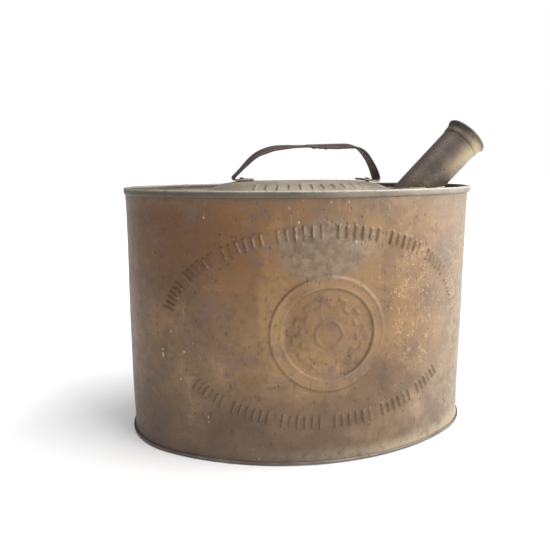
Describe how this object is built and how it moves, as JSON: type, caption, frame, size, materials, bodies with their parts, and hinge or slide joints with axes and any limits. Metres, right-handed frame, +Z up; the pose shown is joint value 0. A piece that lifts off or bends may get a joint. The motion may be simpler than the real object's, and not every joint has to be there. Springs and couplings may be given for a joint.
{
  "type": "oil can",
  "caption": "Upright oval tinplate oil can with a countersunk top, a straight leaning pouring spout with a rolled mouth, and a flat strap handle.",
  "frame": {"origin": "centre of the oval in the plane the can stands on", "axes": "+X along the oval's long axis towards the spout, -Y towards the embossed front, +Z up"},
  "size_m": [0.2537, 0.1632, 0.2109],
  "materials": {
    "lacquered_sheet": "worn copper-brown lacquer over tinplate",
    "top_tin": "dull greenish grey tinplate",
    "foot_tin": "dull grey tinplate with a bright worn edge",
    "spout_sheet": "worn lacquer, golden where it is rubbed",
    "spout_ring": "worn lacquer with a dark rolled lip",
    "solder": "dull grey solder",
    "handle_iron": "dark brown rusted strap",
    "rivet_iron": "dark rusted rivets"
  },
  "bodies": {
    "root": {"front_sheet": "lacquered_sheet", "back_sheet": "lacquered_sheet", "left_seam_solder": "solder", "right_seam_solder": "solder", "top_panel": "top_tin", "top_seam_solder": "solder", "bottom_panel": "foot_tin", "bottom_seam_solder": "solder", "spout_tube": "spout_sheet", "spout_mouth_ring": "spout_ring", "spout_base_solder": "solder", "mouth_ring_solder": "solder", "handle_strap": "handle_iron", "handle_rivets": "rivet_iron", "handle_foot_solder": "solder"}
  },
  "joints": []
}
